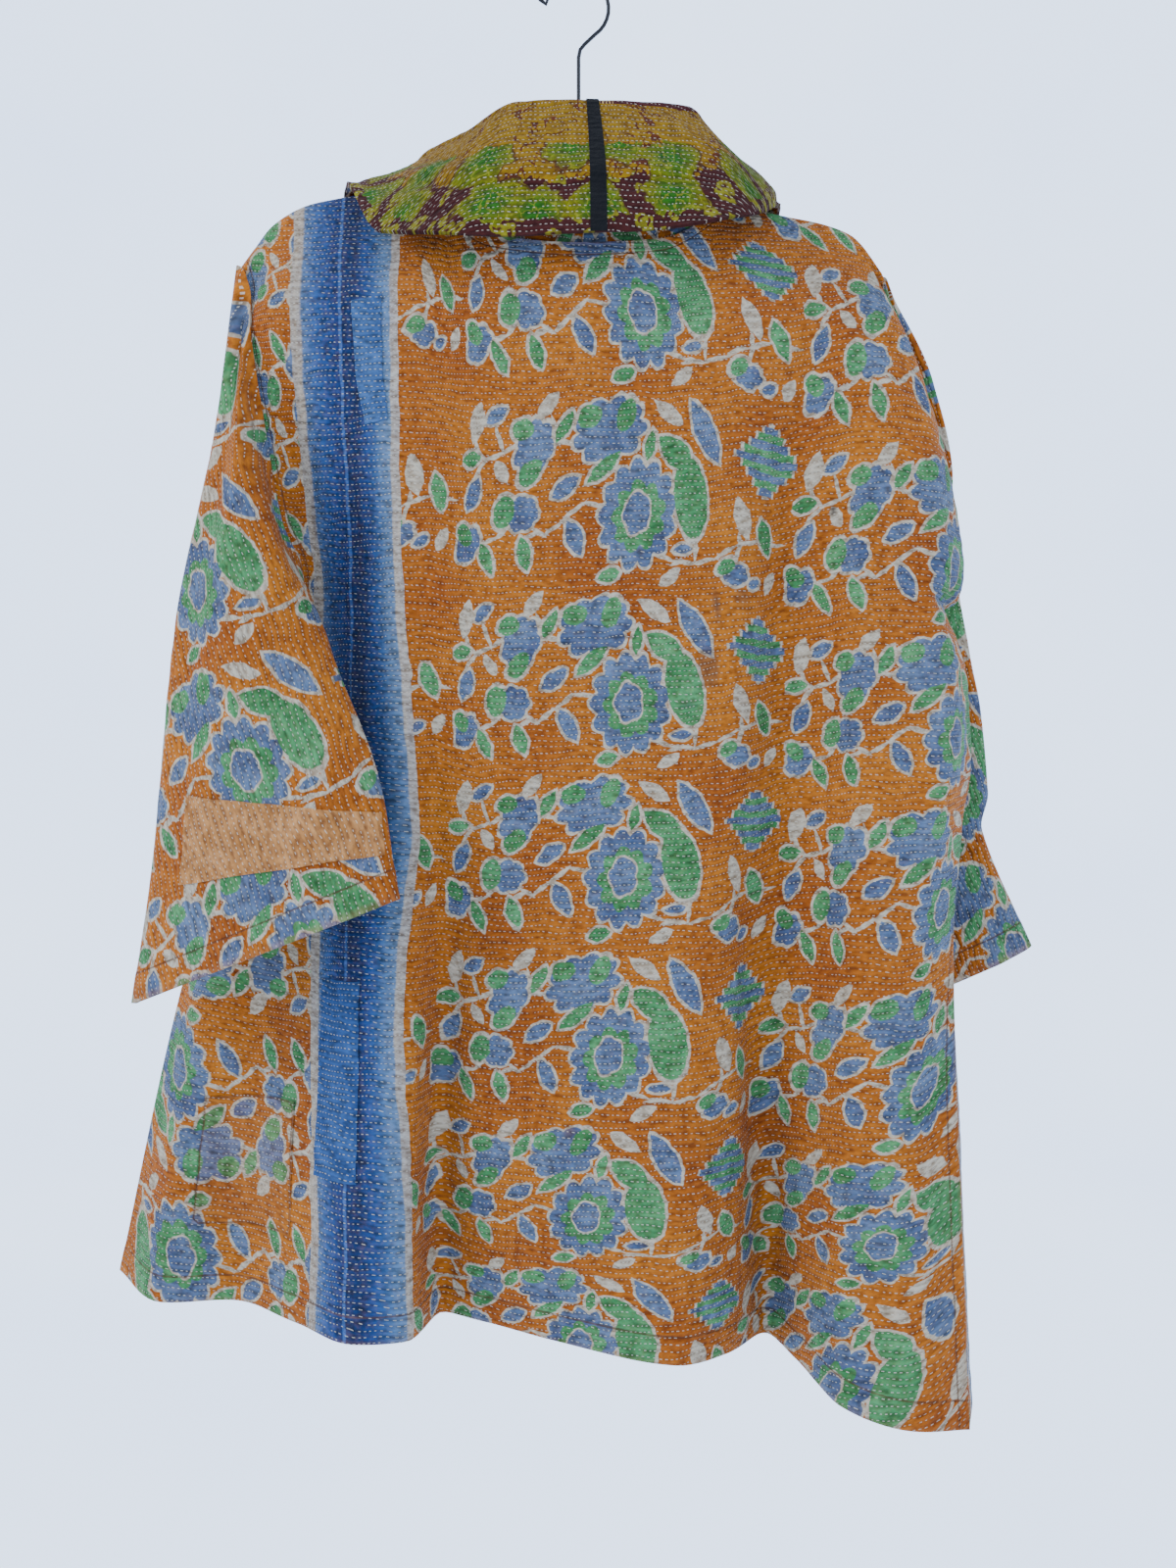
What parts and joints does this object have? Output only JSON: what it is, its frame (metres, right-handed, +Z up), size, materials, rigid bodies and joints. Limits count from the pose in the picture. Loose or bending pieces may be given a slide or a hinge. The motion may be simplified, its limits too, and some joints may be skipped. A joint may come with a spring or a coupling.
{
  "type": "open quilted patched jacket on a hanger",
  "caption": "Open hip-length jacket of worn running-stitch quilt with wide sleeves and a rolled collar, hanging from a wire-hook hanger",
  "frame": {"origin": "the underside of the top of the hanger's hook, where it bears on what holds it up", "axes": "+Z up; -Y is the jacket's back, +Y its open front; -X is the wearer's left sleeve; the hanger's arms run along X"},
  "size_m": [0.7061, 0.2397, 1.0351],
  "materials": {
    "quilt_orange": "worn block-printed cotton, running-stitched",
    "quilt_blue": "worn indigo cotton, running-stitched",
    "quilt_yellow": "worn printed cotton, running-stitched",
    "cotton_tape": "black cotton tape",
    "black_wire": "black enamel"
  },
  "bodies": {
    "root": {"back": "quilt_orange", "front_left": "quilt_orange", "front_right": "quilt_orange", "sleeve_left": "quilt_orange", "sleeve_right": "quilt_orange", "collar": "quilt_yellow", "collar_tape": "cotton_tape", "patch_blue_low": "quilt_blue", "patch_blue_high": "quilt_blue", "patch_orange_low": "quilt_orange", "patch_sleeve": "quilt_orange", "hanger_hook": "black_wire", "hanger_arms": "black_wire"}
  },
  "joints": []
}
